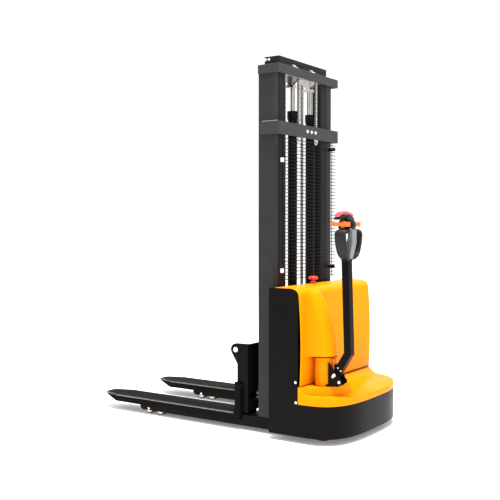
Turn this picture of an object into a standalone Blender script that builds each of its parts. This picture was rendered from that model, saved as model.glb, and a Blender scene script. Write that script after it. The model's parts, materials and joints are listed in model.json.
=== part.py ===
"""A walkie stacker: a pedestrian-operated electric lift truck with a two-stage mast.

Metres. +X points towards the fork tips, +Y to the truck's left, +Z up. The origin is on the
floor, under the middle of the truck's bounding box. Everything is modelled with the forks
lowered, the tiller upright and the drive wheel straight ahead.
"""

import math

import bmesh
import bpy
from mathutils import Matrix, Vector

# ---------------------------------------------------------------- driving dimensions
GAP = 0.0003  # between pieces that touch
LENGTH = 1.750
HALF_WIDTH = 0.423
MAST_TOP_Z = 2.100

# Chassis
PANEL_FRONT_X = -0.4353
PANEL_REAR_X = -0.6183
PANEL_LOW_Z, PANEL_TOP_Z = 0.035, 0.824
SHEET = 0.006
BULKHEAD_X = (-0.456, -0.448)
SKIRT_TOP_Z = 0.209
SKIRT_WALL = 0.008
TAIL_START_X = -0.6303  # the straight sides end here and the rounded tail starts
TAIL_DEPTH = LENGTH / 2 + TAIL_START_X
TAIL_POWER = 3.1  # exponent of the tail's superellipse
DECK_PLATE_Z = (0.222, 0.232)
SHELF_Z = (0.290, 0.298)

# Covers
COVER_WALL = 0.004
COVER_FRONT_X = PANEL_REAR_X - 0.0004
LEDGE_FRONT_Z, LEDGE_REAR_Z = 0.2625, 0.243
COVE_RISE, COVE_WIDTH = 0.034, 0.030  # where the ledge sweeps up to the hood
DECK_TOP_Z = 0.300
HOOD_X = (-0.6240, -0.4565)
HOOD_SWELL, HOOD_RAKE = 0.0095, 0.007  # how far the rear face stands out at half height, and at its foot
HOOD_Z = (DECK_TOP_Z + 0.001, 0.823)
HOOD_EDGE = 0.040
BULGE_LOW_Z, BULGE_TOP_X = 0.458, -0.590  # its middle stands over the column at the foot
BULGE_R = (0.072, 0.056)  # at its foot and at its top
BULGE_BOW = 2.4  # how long the bulge stays upright before it leans forward; 1 is a straight lean

# Drive unit and tiller
STEER_X, STEER_Y = -0.6953, 0.273
WHEEL_R, WHEEL_HALF, HUB_R = 0.105, 0.0375, 0.088
COLUMN_R, COLUMN_TOP_Z = 0.050, 0.470
FLANGE_TOP_Z = 0.2455  # of the gearbox, which the column stands on
PIVOT = (-0.7683, 0.356)  # x, z of the tiller's hinge
ELBOW = (-0.8455, 0.481)
ARM_TOP = (-0.8290, 0.975)
ARM_HALF = 0.0215
LOOP_X = (-0.8725, -0.8060)
LOOP_HALF, LOOP_TOP_Z = 0.105, 1.140
DRUM = (-0.8300, 1.160, 0.044)  # x, z, radius of the head's middle
BRIDGE_X, BRIDGE_Z = (-0.8340, -0.7900), (1.190, 1.214)  # over the thumb switch
BRIDGE_HALF, BRIDGE_R = 0.078, 0.178
BELLY_X, BELLY_GAP, BELLY_THICK = -0.8120, 0.004, 0.017
SWITCH = (-0.8223, 1.166)  # x, z of the thumb switch's shaft
BUTTONS = {"lift_button": 1.172, "lower_button": 1.148}  # heights on the drum's front
ESTOP = (-0.4853, 0.023)  # x, y of the emergency stop on the hood

# Caster
CASTER_X, CASTER_Y, CASTER_R, CASTER_TRAIL = STEER_X, -0.273, 0.050, 0.030

# Mast
RAIL_X = (-0.4063, -0.3093)
OUTER_RAIL_Y = (0.275, 0.333)
INNER_RAIL_Y = (0.205, 0.270)
OUTER_RAIL_Z = (0.0865, 2.045)
INNER_RAIL_Z = (0.098, MAST_TOP_Z)
WEB, FLANGE = 0.008, 0.010
COLLAR_REAR_X = -0.4493
TOP_COLLAR_Z, MID_COLLAR_Z = (1.995, 2.045), (1.660, 1.732)
RAM_X, RAM_Y, RAM_R = -0.3913, 0.101, 0.027
RAM_TOP_Z = 1.810
ROD_R = 0.0145
PULLEY_X, PULLEY_Z, PULLEY_R = -0.3833, 2.020, 0.048
SHAFT_R = 0.0125  # of the pulley shaft
MAST_ROLLER, CARRIAGE_ROLLER = (-0.3578, 0.150), (-0.3578, 0.410)  # x, z
CHAIN_HALF_X, CHAIN_HALF_Y = 0.006, 0.010
CHAIN_LOW_Z = 0.4756
GUARD_X, GUARD_Z = -0.4473, (0.850, 1.650)
GUARD_PITCH, GUARD_WIRE = 0.020, 0.004

# Forks, legs and carriage
FORK_Y, FORK_HALF = 0.2663, 0.086
FORK_TOP_Z, FORK_LOW_Z = 0.097, 0.055
HEEL_X = (-0.1973, -0.1603)
HEEL_TOP_Z = 0.270
LEG_HALF, LEG_Z, LEG_END_X = 0.070, (0.024, 0.085), 0.560
ROLLER_X = (0.4217, 0.5097)
ROLLER_R, ROLLER_HALF = 0.037, 0.048
PLATE_X = (-0.2333, -0.1603)
PLATE_Y = (0.305, 0.325)
PLATE_Z = (0.095, 0.487)
LOBE = (-0.1503, 0.451, 0.035)  # x, z, radius

MATERIALS = {
    "mast_paint": ((0.085, 0.085, 0.093), 0.45, 0.0),
    "chassis_paint": ((0.016, 0.015, 0.013), 0.38, 0.0),
    "yellow_cover": ((0.960, 0.400, 0.012), 0.30, 0.0),
    "steel": ((0.560, 0.550, 0.530), 0.28, 1.0),
    "cast_iron": ((0.120, 0.120, 0.125), 0.60, 0.6),
    "polyurethane": ((0.140, 0.018, 0.012), 0.50, 0.0),
    "black_plastic": ((0.022, 0.022, 0.024), 0.50, 0.0),
    "grey_plastic": ((0.105, 0.110, 0.120), 0.50, 0.0),
    "orange_plastic": ((0.850, 0.180, 0.020), 0.40, 0.0),
    "red_plastic": ((0.700, 0.035, 0.030), 0.35, 0.0),
}


# ---------------------------------------------------------------- scene and helpers
def clear_scene():
    for obj in list(bpy.data.objects):
        bpy.data.objects.remove(obj, do_unlink=True)


def new_collection(name):
    collection = bpy.data.collections.new(name)
    bpy.context.scene.collection.children.link(collection)
    return collection


def make_materials():
    made = {}
    for name, (colour, roughness, metallic) in MATERIALS.items():
        material = bpy.data.materials.new(name)
        material.use_nodes = True
        shader = material.node_tree.nodes["Principled BSDF"]
        shader.inputs["Base Color"].default_value = (*colour, 1.0)
        shader.inputs["Roughness"].default_value = roughness
        shader.inputs["Metallic"].default_value = metallic
        material.diffuse_color = (*colour, 1.0)
        made[name] = material
    return made


def object_from(mesh, name="shape"):
    obj = bpy.data.objects.new(name, mesh)
    bpy.context.scene.collection.objects.link(obj)
    return obj


def box(low, high):
    """A box between two corners."""
    work = bmesh.new()
    bmesh.ops.create_cube(work, size=1.0)
    low, high = Vector(low), Vector(high)
    size = high - low
    for vert in work.verts:
        vert.co = Vector(((vert.co[i] + 0.5) * size[i] + low[i]) for i in range(3))
    mesh = bpy.data.meshes.new("box")
    work.to_mesh(mesh)
    work.free()
    return object_from(mesh)


def rod(start, end, radius, segments=16, end_radius=None):
    """A cylinder, or with end_radius a cone, between two points."""
    start, end = Vector(start), Vector(end)
    along = end - start
    turn = Vector((0, 0, 1)).rotation_difference(along).to_matrix().to_4x4()
    work = bmesh.new()
    bmesh.ops.create_cone(
        work,
        cap_ends=True,
        segments=segments,
        radius1=radius,
        radius2=radius if end_radius is None else end_radius,
        depth=along.length,
        matrix=Matrix.Translation((start + end) / 2) @ turn,
    )
    mesh = bpy.data.meshes.new("rod")
    work.to_mesh(mesh)
    work.free()
    return object_from(mesh)


AXIS_TURNS = {
    # where a flat outline's own x, y and thickness point
    "XY": Matrix.Identity(4),
    "XZ": Matrix.Rotation(math.radians(90), 4, "X"),
    "YZ": Matrix(((0, 0, 1, 0), (1, 0, 0, 0), (0, 1, 0, 0), (0, 0, 0, 1))),
}


def plate(outline, plane, low, high):
    """A flat outline in one plane, given thickness from low to high along the third axis."""
    curve = bpy.data.curves.new("outline", "CURVE")
    curve.dimensions = "2D"
    curve.fill_mode = "BOTH"
    curve.extrude = (high - low) / 2
    spline = curve.splines.new("POLY")
    spline.points.add(len(outline) - 1)
    for point, (u, v) in zip(spline.points, outline):
        point.co = (u, v, 0, 1)
    spline.use_cyclic_u = True
    obj = bpy.data.objects.new("outline", curve)
    bpy.context.scene.collection.objects.link(obj)
    middle = (low + high) / 2
    # The XZ plane's own thickness axis points along -Y.
    shift = {"XY": (0, 0, middle), "XZ": (0, middle, 0), "YZ": (middle, 0, 0)}[plane]
    obj.matrix_world = Matrix.Translation(shift) @ AXIS_TURNS[plane]
    bpy.context.view_layer.update()
    graph = bpy.context.evaluated_depsgraph_get()
    mesh = bpy.data.meshes.new_from_object(obj.evaluated_get(graph))
    mesh.transform(obj.matrix_world)
    work = bmesh.new()
    work.from_mesh(mesh)
    bmesh.ops.remove_doubles(work, verts=work.verts, dist=1e-6)
    bmesh.ops.recalc_face_normals(work, faces=work.faces)
    work.to_mesh(mesh)
    work.free()
    bpy.data.objects.remove(obj, do_unlink=True)
    return object_from(mesh)


def turned(profile, centre, axis="Z", segments=24):
    """A profile of (radius, height) points, top to bottom on its outer side, turned about Z or Y.

    The profile closes on itself. Where it meets the axis, it leaves out the stretch along it.
    """
    mesh = bpy.data.meshes.new("profile")
    points = [(radius, 0.0, height) for radius, height in profile]
    ring = [(i, (i + 1) % len(points)) for i in range(len(points))]
    edges = [(a, b) for a, b in ring if profile[a][0] > 0 or profile[b][0] > 0]
    mesh.from_pydata(points, edges, [])
    obj = object_from(mesh)
    screw = obj.modifiers.new("turn", "SCREW")
    screw.steps = screw.render_steps = segments
    screw.use_merge_vertices = True
    screw.merge_threshold = 0.00001
    bake(obj)
    turn = {"Z": Matrix.Identity(4), "Y": Matrix.Rotation(math.radians(-90), 4, "X")}[axis]
    obj.data.transform(Matrix.Translation(centre) @ turn)
    return obj


def bake(obj):
    """Gives an object the mesh that its modifiers make."""
    bpy.context.view_layer.update()
    graph = bpy.context.evaluated_depsgraph_get()
    mesh = bpy.data.meshes.new_from_object(obj.evaluated_get(graph))
    obj.modifiers.clear()
    obj.data = mesh
    return obj


def combine(base, operation, *others):
    for other in others:
        modifier = base.modifiers.new(operation.lower(), "BOOLEAN")
        modifier.operation = operation
        modifier.solver = "EXACT"
        modifier.object = other
    bake(base)
    for other in others:
        bpy.data.objects.remove(other, do_unlink=True)
    return base


def joined(base, *others):
    return combine(base, "UNION", *others)


def cut(base, *others):
    return combine(base, "DIFFERENCE", *others)


def rounded(obj, width, segments=2, angle=40):
    """Bevels the edges sharper than an angle."""
    bevel = obj.modifiers.new("round", "BEVEL")
    bevel.width = width
    bevel.segments = segments
    bevel.limit_method = "ANGLE"
    bevel.angle_limit = math.radians(angle)
    bevel.use_clamp_overlap = True
    return bake(obj)


def mirrored(obj):
    """A copy on the truck's other side."""
    mesh = obj.data.copy()
    mesh.transform(Matrix.Scale(-1, 4, (0, 1, 0)))
    mesh.flip_normals()
    return object_from(mesh)


def arc(centre, radius, start, end, steps):
    """Points on an arc, in degrees."""
    for step in range(steps + 1):
        angle = math.radians(start + (end - start) * step / steps)
        yield centre[0] + radius * math.cos(angle), centre[1] + radius * math.sin(angle)


class Truck:
    """Collects the finished pieces, each parented to the empty of the body it moves with."""

    def __init__(self):
        self.materials = make_materials()
        self.parts = new_collection("walkie_stacker")
        self.bodies = {}

    def body(self, name, position, parent=None):
        empty = bpy.data.objects.new(name + "_axis", None)
        empty.empty_display_size = 0.05
        empty.location = position
        self.parts.objects.link(empty)
        if parent:
            empty.parent = self.bodies[parent]
            bpy.context.view_layer.update()
            empty.matrix_parent_inverse = self.bodies[parent].matrix_world.inverted()
        self.bodies[name] = empty
        bpy.context.view_layer.update()

    def add(self, name, obj, material, body):
        obj.name = name
        obj.data.name = name
        obj.data.materials.clear()
        obj.data.materials.append(self.materials[material])
        for collection in list(obj.users_collection):
            collection.objects.unlink(obj)
        self.parts.objects.link(obj)
        obj.data.shade_smooth()
        obj.data.set_sharp_from_angle(angle=math.radians(35))
        obj.parent = self.bodies[body]
        obj.matrix_parent_inverse = self.bodies[body].matrix_world.inverted()

    def add_pair(self, name, obj, material, body, right_body=None):
        """The left piece, and its mirror image as the right one."""
        other = mirrored(obj)
        self.add(name + "_left", obj, material, body)
        self.add(name + "_right", other, material, right_body or body)


# ---------------------------------------------------------------- chassis
def tail_outline(inset=0.0, front_x=None, steps=28):
    """The chassis seen from above: straight sides and a superellipse for the tail."""
    half, depth = HALF_WIDTH - inset, TAIL_DEPTH - inset
    points = [(front_x, half)] if front_x is not None else []
    for step in range(steps + 1):
        angle = math.pi / 2 - math.pi * step / steps
        across = math.copysign(abs(math.sin(angle)) ** (2 / TAIL_POWER), math.sin(angle))
        back = abs(math.cos(angle)) ** (2 / TAIL_POWER)
        points.append((TAIL_START_X - depth * back, half * across))
    if front_x is not None:
        points.append((front_x, -half))
    return points


def add_chassis(truck):
    half = HALF_WIDTH - SHEET - 0.0005
    rear, front = BULKHEAD_X
    frame = box((rear, -half, 0.05), (front, half, 0.80))
    deck = plate(tail_outline(0.015, rear + 0.002, 20), "XY", *DECK_PLATE_Z)
    deck = cut(deck, rod((STEER_X, STEER_Y, 0.2), (STEER_X, STEER_Y, 0.3), 0.092, 24))
    shelf = box((PANEL_REAR_X + 0.003, -half, SHELF_Z[0]), (rear + 0.002, half, SHELF_Z[1]))
    foot = box((rear + 0.002, -0.190, 0.050), (RAIL_X[1], 0.190, 0.060))
    webs = [
        box((-0.600, y - 0.004, DECK_PLATE_Z[1] - 0.002), (rear + 0.002, y + 0.004, 0.292))
        for y in (-0.200, 0.140)
    ]
    caster_pad = rod((CASTER_X, CASTER_Y, 0.1505), (CASTER_X, CASTER_Y, 0.226), 0.045, 20)
    frame = joined(frame, deck, shelf, foot, *webs, caster_pad)
    truck.add("chassis_frame", frame, "chassis_paint", "chassis")

    corner = 0.050
    panel = [
        (PANEL_FRONT_X, PANEL_LOW_Z),
        (PANEL_FRONT_X, PANEL_TOP_Z),
        *arc((PANEL_REAR_X + corner, PANEL_TOP_Z - corner), corner, 90, 180, 6),
        (PANEL_REAR_X, PANEL_LOW_Z),
    ]
    side = plate(panel, "XZ", HALF_WIDTH - SHEET, HALF_WIDTH)
    truck.add_pair("side_panel", side, "chassis_paint", "chassis")

    skirt = plate(tail_outline(0, COVER_FRONT_X), "XY", PANEL_LOW_Z, SKIRT_TOP_Z)
    room = plate(tail_outline(SKIRT_WALL, COVER_FRONT_X + 0.01), "XY", 0.0, 0.25)
    truck.add("bumper_skirt", cut(skirt, room), "chassis_paint", "chassis")


def add_legs(truck):
    """The support legs under the forks, each with its two roller axles."""
    low, high = LEG_Z
    wall = 0.008
    leg = box((BULKHEAD_X[1] + GAP, FORK_Y - LEG_HALF, low), (LEG_END_X, FORK_Y + LEG_HALF, high))
    room = box(
        (BULKHEAD_X[1] + 0.02, FORK_Y - LEG_HALF + wall, low - 0.01),
        (LEG_END_X + 0.01, FORK_Y + LEG_HALF - wall, high - 0.006),
    )
    leg = cut(leg, room)
    nose = rod(
        (LEG_END_X, FORK_Y - 0.1, low - 0.006),
        (LEG_END_X, FORK_Y + 0.1, low - 0.006),
        0.016,
        8,
    )
    leg = cut(leg, nose)
    reach = LEG_HALF - 0.004
    axles = [
        rod((x, FORK_Y - reach, ROLLER_R), (x, FORK_Y + reach, ROLLER_R), 0.010, 12)
        for x in ROLLER_X
    ]
    truck.add_pair("leg", joined(leg, *axles), "chassis_paint", "chassis")


def add_load_rollers(truck):
    for side, sign in (("left", 1), ("right", -1)):
        for place, x in zip(("rear", "front"), ROLLER_X):
            name = f"load_roller_{side}_{place}"
            truck.body(name, (x, sign * FORK_Y, ROLLER_R), "chassis")
            profile = [
                (0.0105, ROLLER_HALF),
                (ROLLER_R - 0.002, ROLLER_HALF),
                (ROLLER_R, ROLLER_HALF - 0.003),
                (ROLLER_R, -ROLLER_HALF + 0.003),
                (ROLLER_R - 0.002, -ROLLER_HALF),
                (0.0105, -ROLLER_HALF),
            ]
            roller = turned(profile, (x, sign * FORK_Y, ROLLER_R), "Y", 28)
            truck.add(name, roller, "polyurethane", name)


# ---------------------------------------------------------------- covers
def ledge_z(back):
    """The cover's height beside the deck, at a distance behind its front edge."""
    fall = (LEDGE_FRONT_Z - LEDGE_REAR_Z) * back / (LENGTH / 2 + COVER_FRONT_X)
    return LEDGE_FRONT_Z - fall + COVE_RISE * math.exp(-((back / COVE_WIDTH) ** 2))


def cover_solid(inset, lower=0.0):
    """The tail cover's outer form, or with an inset the room under it."""
    low = SKIRT_TOP_Z + GAP - (0.05 if inset else 0.0)
    front = COVER_FRONT_X + (0.01 if inset else 0.0)
    body = plate(tail_outline(inset, front, 24), "XY", low, 0.32)
    backs = [0.008 * step for step in range(11)] + [0.150, 0.280]
    above = [(COVER_FRONT_X - back, ledge_z(back) - lower) for back in backs]
    above += [(above[-1][0], 0.4), (COVER_FRONT_X + 0.02, 0.4), (COVER_FRONT_X + 0.02, above[0][1])]
    body = cut(body, plate(above, "XZ", -0.6, 0.6))
    if not inset:
        body = rounded(body, 0.010, 2, 60)
        body = cut(body, box((-1, -1, 0), (0, 1, SKIRT_TOP_Z + GAP)))
        body = cut(body, box((COVER_FRONT_X, -1, 0), (0, 1, 1)))
    return body


def deck_outline(inset):
    """The raised round step of the tail cover that the steering column stands in."""
    centre, radius, right_y, corner = (-0.5128, 0.160), 0.287 - inset, 0.140 + inset, 0.030
    front = COVER_FRONT_X + (0.01 if inset else 0.0)
    side_y = HALF_WIDTH - 0.0005 - inset
    start = math.degrees(math.asin((side_y - centre[1]) / radius))
    points = [(front, side_y)]
    points += list(arc(centre, radius, 180 - start, 180 - 1.0, 10))
    rear_x = centre[0] - radius
    points += list(arc((rear_x + corner, right_y + corner), corner, 200, 270, 3))
    points.append((front, right_y))
    return points


def add_covers(truck):
    outer = cover_solid(0.0)
    deck = plate(deck_outline(0.0), "XY", SKIRT_TOP_Z + 0.01, DECK_TOP_Z)
    outer = joined(outer, deck)
    room = cover_solid(COVER_WALL, COVER_WALL)
    deck_room = plate(deck_outline(COVER_WALL), "XY", SKIRT_TOP_Z - 0.03, DECK_TOP_Z - COVER_WALL)
    room = joined(room, deck_room)
    cover = cut(outer, room)
    hole = rod((STEER_X, STEER_Y, 0.2), (STEER_X, STEER_Y, 0.4), 0.060, 28)
    truck.add("drive_cover", cut(cover, hole), "yellow_cover", "chassis")

    hood = cut(hood_solid(0.0), hood_solid(COVER_WALL))
    estop_hole = rod((ESTOP[0], ESTOP[1], 0.80), (ESTOP[0], ESTOP[1], 0.84), 0.0115, 16)
    truck.add("hood", cut(hood, estop_hole), "yellow_cover", "chassis")


def hood_solid(inset):
    """The hood's outer form, or with an inset the room inside it, open below and in front."""
    half = HALF_WIDTH - SHEET - 0.0005 - inset
    rear, front = HOOD_X[0] + inset, HOOD_X[1] + (0.01 if inset else 0.0)
    low, high = HOOD_Z[0] - (0.01 if inset else 0.0), HOOD_Z[1] - inset
    edge = HOOD_EDGE - inset
    outline = [(front, low), (front, high), *arc((rear + edge, high - edge), edge, 90, 180, 6)]
    steps = 9
    for step in range(1, steps + 1):
        down = step / steps
        swell = HOOD_RAKE * down + 4 * HOOD_SWELL * down * (1 - down)
        outline.append((rear - swell, high - edge + (low - high + edge) * down))
    body = plate(outline, "XZ", -half, half)
    return joined(body, bulge_solid(inset))


def bulge_solid(inset, steps=7, segments=28):
    """The bulge over the steering column, built up from rings that lean forward as they rise."""
    low, high = BULGE_LOW_Z - (0.01 if inset else 0.0), HOOD_Z[1] - 0.006 - inset
    foot_r, top_r = BULGE_R
    work = bmesh.new()
    rings = []
    for step in range(steps + 1):
        z = low + (high - low) * step / steps
        rise = max(0.0, z - BULGE_LOW_Z) / (HOOD_Z[1] - BULGE_LOW_Z)
        x = STEER_X + (BULGE_TOP_X - STEER_X) * rise**BULGE_BOW
        radius = foot_r + (top_r - foot_r) * rise - inset
        circle = list(arc((x, STEER_Y), radius, 0, 360, segments))[:-1]
        rings.append([work.verts.new((u, v, z)) for u, v in circle])
    for below, above in zip(rings, rings[1:]):
        for i in range(segments):
            j = (i + 1) % segments
            work.faces.new((below[i], below[j], above[j], above[i]))
    work.faces.new(rings[0][::-1])
    work.faces.new(rings[-1])
    mesh = bpy.data.meshes.new("bulge")
    work.to_mesh(mesh)
    work.free()
    return object_from(mesh)


# ---------------------------------------------------------------- power and controls inside
def add_power_pack(truck):
    battery = rounded(box((-0.612, -0.400, 0.2985), (-0.464, 0.160, 0.520)), 0.006, 1)
    truck.add("battery", battery, "black_plastic", "chassis")
    tank = rounded(box((-0.600, -0.390, 0.525), (-0.470, -0.130, 0.760)), 0.010, 1)
    truck.add("hydraulic_tank", tank, "cast_iron", "chassis")
    motor = rod((-0.535, -0.125, 0.630), (-0.535, 0.130, 0.630), 0.056, 24)
    truck.add("pump_motor", motor, "cast_iron", "chassis")
    controller = rounded(box((-0.560, 0.200, 0.320), (-0.4585, 0.380, 0.540)), 0.004, 1)
    truck.add("motor_controller", controller, "steel", "chassis")


def add_emergency_stop(truck):
    x, y = ESTOP
    base = [(0.0068, 0.838), (0.016, 0.838), (0.018, HOOD_Z[1] + GAP), (0.011, HOOD_Z[1] + GAP)]
    base += [(0.011, 0.785), (0.0068, 0.785)]
    truck.add("estop_base", turned(base, (x, y, 0), "Z", 20), "red_plastic", "chassis")
    truck.body("estop_button", (x, y, 0.84), "chassis")
    cap = [(0.0, 0.869), (0.018, 0.8675), (0.0262, 0.862), (0.028, 0.856), (0.0262, 0.850)]
    cap += [(0.014, 0.8465), (0.0065, 0.846), (0.0065, 0.790), (0.0, 0.790)]
    truck.add("estop_button", turned(cap, (x, y, 0), "Z", 20), "red_plastic", "estop_button")


# ---------------------------------------------------------------- mast
def channel(y_web, y_lips, z):
    """A C section open towards the lips, between two heights."""
    low_y, high_y = sorted((y_web, y_lips))
    whole = box((RAIL_X[0], low_y, z[0]), (RAIL_X[1], high_y, z[1]))
    inner = y_web + math.copysign(WEB, y_lips - y_web)
    beyond = y_lips + math.copysign(0.01, y_lips - y_web)
    low_y, high_y = sorted((inner, beyond))
    room = box((RAIL_X[0] + FLANGE, low_y, z[0] - 0.01), (RAIL_X[1] - FLANGE, high_y, z[1] + 0.01))
    return cut(whole, room)


def collar(z, front_x):
    """A plate behind the mast whose ends wrap round the outer rails."""
    half = OUTER_RAIL_Y[1] + GAP + 0.008
    whole = box((COLLAR_REAR_X, -half, z[0]), (front_x, half, z[1]))
    inside = half - 0.008
    room = box((COLLAR_REAR_X + 0.008, -inside, z[0] - 0.01), (front_x + 0.01, inside, z[1] + 0.01))
    return cut(whole, room)


def add_outer_mast(truck):
    rail = channel(OUTER_RAIL_Y[1], OUTER_RAIL_Y[0], OUTER_RAIL_Z)
    truck.add_pair("outer_rail", rail, "mast_paint", "chassis")
    truck.add("top_collar", collar(TOP_COLLAR_Z, RAIL_X[1]), "mast_paint", "chassis")
    mid = collar(MID_COLLAR_Z, RAIL_X[1] - 0.014)
    lugs = [
        box(
            (COLLAR_REAR_X + 0.006, sign * RAM_Y - 0.015, 1.664),
            (COLLAR_REAR_X + 0.0245, sign * RAM_Y + 0.015, 1.690),
        )
        for sign in (1, -1)
    ]
    truck.add("mid_collar", joined(mid, *lugs), "mast_paint", "chassis")

    bore = ROD_R + 0.0005
    profile = [
        (bore, RAM_TOP_Z),
        (RAM_R + 0.004, RAM_TOP_Z),
        (RAM_R + 0.004, RAM_TOP_Z - 0.045),
        (RAM_R, RAM_TOP_Z - 0.047),
        (RAM_R, 0.0605),
        (0.0, 0.0605),
        (0.0, 0.115),
        (bore, 0.115),
    ]
    ram = turned(profile, (RAM_X, RAM_Y, 0))
    truck.add_pair("lift_cylinder", ram, "chassis_paint", "chassis")
    add_guard(truck)


def add_guard(truck):
    """The wire screen between the operator and the mast."""
    half = GUARD_WIRE / 2
    low, high = GUARD_Z
    uprights = [
        box((GUARD_X - half, y - half, low), (GUARD_X + half, y + half, high))
        for y in (-0.300, 0.0, 0.300)
    ]
    count = round((high - low) / GUARD_PITCH)
    wires = []
    for i in range(count):
        z = low + GUARD_PITCH * (i + 0.5)
        wires.append(box((GUARD_X - half - 0.0015, -0.310, z - half), (GUARD_X, 0.304, z + half)))
    clips = [
        box((GUARD_X + 0.0005, y - 0.006, z - 0.0065), (RAIL_X[0] - GAP, y + 0.006, z + 0.0065))
        for y in (-0.300, 0.300)
        for z in (low + 0.060, high - 0.030)
    ]
    base = uprights[0]
    truck.add("mesh_guard", joined(base, *wires, *uprights[1:], *clips), "chassis_paint", "chassis")


def add_chains(truck):
    """The rear strand of each lift chain, which lengthens as the mast rises, and the rest."""
    rear_x, front_x = PULLEY_X - PULLEY_R, PULLEY_X + PULLEY_R
    y = (RAM_Y - CHAIN_HALF_Y, RAM_Y + CHAIN_HALF_Y)
    rear = box(
        (rear_x - CHAIN_HALF_X, y[0], 1.690 + GAP), (rear_x + CHAIN_HALF_X, y[1], PULLEY_Z - GAP)
    )
    truck.add_pair("chain_rear", rear, "steel", "chassis")
    centre = (PULLEY_X, PULLEY_Z)
    outline = [(front_x - CHAIN_HALF_X, CHAIN_LOW_Z), (front_x + CHAIN_HALF_X, CHAIN_LOW_Z)]
    outline += list(arc(centre, PULLEY_R + CHAIN_HALF_X, 0, 180, 14))
    outline += list(arc(centre, PULLEY_R - CHAIN_HALF_X, 180, 0, 14))
    truck.add_pair("chain_front", plate(outline, "XZ", *y), "steel", "inner_mast")


def add_inner_mast(truck):
    truck.body("inner_mast", (RAM_X, 0, INNER_RAIL_Z[0]), "chassis")
    left = channel(INNER_RAIL_Y[1], INNER_RAIL_Y[0], INNER_RAIL_Z)
    right = mirrored(left)
    reach = INNER_RAIL_Y[0] + 0.004
    bars = [
        box((RAIL_X[0], -reach, MAST_TOP_Z - 0.026), (RAIL_X[0] + 0.010, reach, MAST_TOP_Z)),
        box((RAIL_X[1] - 0.010, -reach, MAST_TOP_Z - 0.026), (RAIL_X[1], reach, MAST_TOP_Z)),
        box((-0.3625, -reach, 0.100), (-0.3445, reach, 0.150)),
        box((-0.3625, reach - 0.012, 0.100), (-0.3445, INNER_RAIL_Y[1] - 0.004, 0.150)),
        box((-0.3625, -INNER_RAIL_Y[1] + 0.004, 0.100), (-0.3445, -reach + 0.012, 0.150)),
    ]
    roller_x, roller_z = MAST_ROLLER
    stubs = [
        rod((roller_x, sign * 0.264, roller_z), (roller_x, sign * 0.321, roller_z), 0.012)
        for sign in (1, -1)
    ]
    truck.add("inner_mast_frame", joined(left, right, *bars, *stubs), "mast_paint", "inner_mast")

    stem = rod((RAM_X, RAM_Y, 0.125), (RAM_X, RAM_Y, 1.950), ROD_R, 20)
    yoke = box((-0.4055, RAM_Y - 0.0195, 1.945), (-0.3485, RAM_Y + 0.0195, 1.960))
    cheeks = [
        box((-0.398, RAM_Y + y, 1.950), (-0.3685, RAM_Y + y + 0.004, 2.038))
        for y in (-0.0195, 0.0155)
    ]
    head = joined(stem, yoke, *cheeks)
    hole = rod((PULLEY_X, 0.05, PULLEY_Z), (PULLEY_X, 0.15, PULLEY_Z), SHAFT_R + GAP, 16)
    truck.add_pair("piston_rod", cut(head, hole), "steel", "inner_mast")

    reach = INNER_RAIL_Y[1] - WEB - 0.0005
    shaft = rod((PULLEY_X, -reach, PULLEY_Z), (PULLEY_X, reach, PULLEY_Z), SHAFT_R, 16)
    truck.add("pulley_shaft", shaft, "steel", "inner_mast")
    for side, sign in (("left", 1), ("right", -1)):
        name = f"chain_pulley_{side}"
        truck.body(name, (PULLEY_X, sign * RAM_Y, PULLEY_Z), "inner_mast")
        groove, rim = PULLEY_R - CHAIN_HALF_X - 0.0005, 0.052
        profile = [
            (SHAFT_R + 0.0005, 0.014),
            (rim, 0.014),
            (rim, 0.0108),
            (groove, 0.0108),
            (groove, -0.0108),
            (rim, -0.0108),
            (rim, -0.014),
            (SHAFT_R + 0.0005, -0.014),
        ]
        pulley = turned(profile, (PULLEY_X, sign * RAM_Y, PULLEY_Z), "Y", 28)
        truck.add(name, pulley, "steel", name)
        name = f"mast_roller_{side}"
        centre = (roller_x, sign * 0.300, roller_z)
        truck.body(name, centre, "inner_mast")
        truck.add(name, guide_roller(centre, 0.037, 0.0125), "steel", name)


def guide_roller(centre, radius, bore):
    half = 0.019
    profile = [(bore, half), (radius, half), (radius, -half), (bore, -half)]
    return turned(profile, centre, "Y", 24)


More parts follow.
